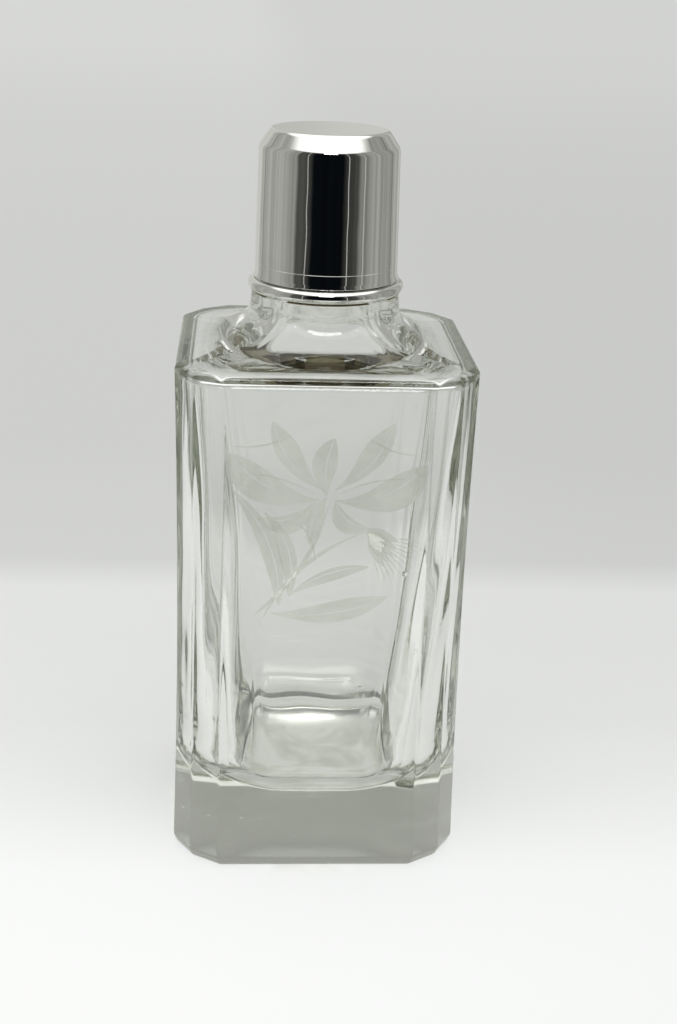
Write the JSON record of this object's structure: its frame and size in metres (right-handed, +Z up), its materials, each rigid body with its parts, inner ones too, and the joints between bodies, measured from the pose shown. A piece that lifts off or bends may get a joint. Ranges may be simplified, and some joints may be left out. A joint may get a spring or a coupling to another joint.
{
  "type": "square glass decanter",
  "caption": "Heavy square clear-glass decanter with canted corners and a fluted neck, a silver neck mount, a cork stopper and a lift-off silver jigger cap.",
  "frame": {"origin": "centre of the bottle's underside, on the surface it stands on", "axes": "+Z up along the bottle's axis, -Y out of the front face, +X to the front face's right"},
  "size_m": [0.095, 0.095, 0.2364],
  "materials": {
    "clear_glass": "clear, polished",
    "polished_silver": "mirror-polished silver",
    "lining_silver": "drawn silver, satin",
    "cork": "natural cork",
    "plaster": "set plaster",
    "plated_steel": "plated, satin"
  },
  "bodies": {
    "bottle": {"bottle": "clear_glass", "collar_cement": "plaster", "neck_collar": "polished_silver", "collar_ring": "polished_silver"},
    "cap": {"jigger_cap": "polished_silver", "cap_lining": "lining_silver"},
    "stopper": {"cork": "cork", "stopper_head": "polished_silver", "stopper_pin": "plated_steel", "stopper_washer": "plated_steel", "stopper_nut": "plated_steel"}
  },
  "joints": [
    {"name": "cap_lift", "type": "slide", "parent": "bottle", "child": "cap", "axis": [0, 0, 1], "range_m": [0, 0.06]},
    {"name": "stopper_pull", "type": "slide", "parent": "bottle", "child": "stopper", "axis": [0, 0, 1], "range_m": [0, 0.021]}
  ]
}
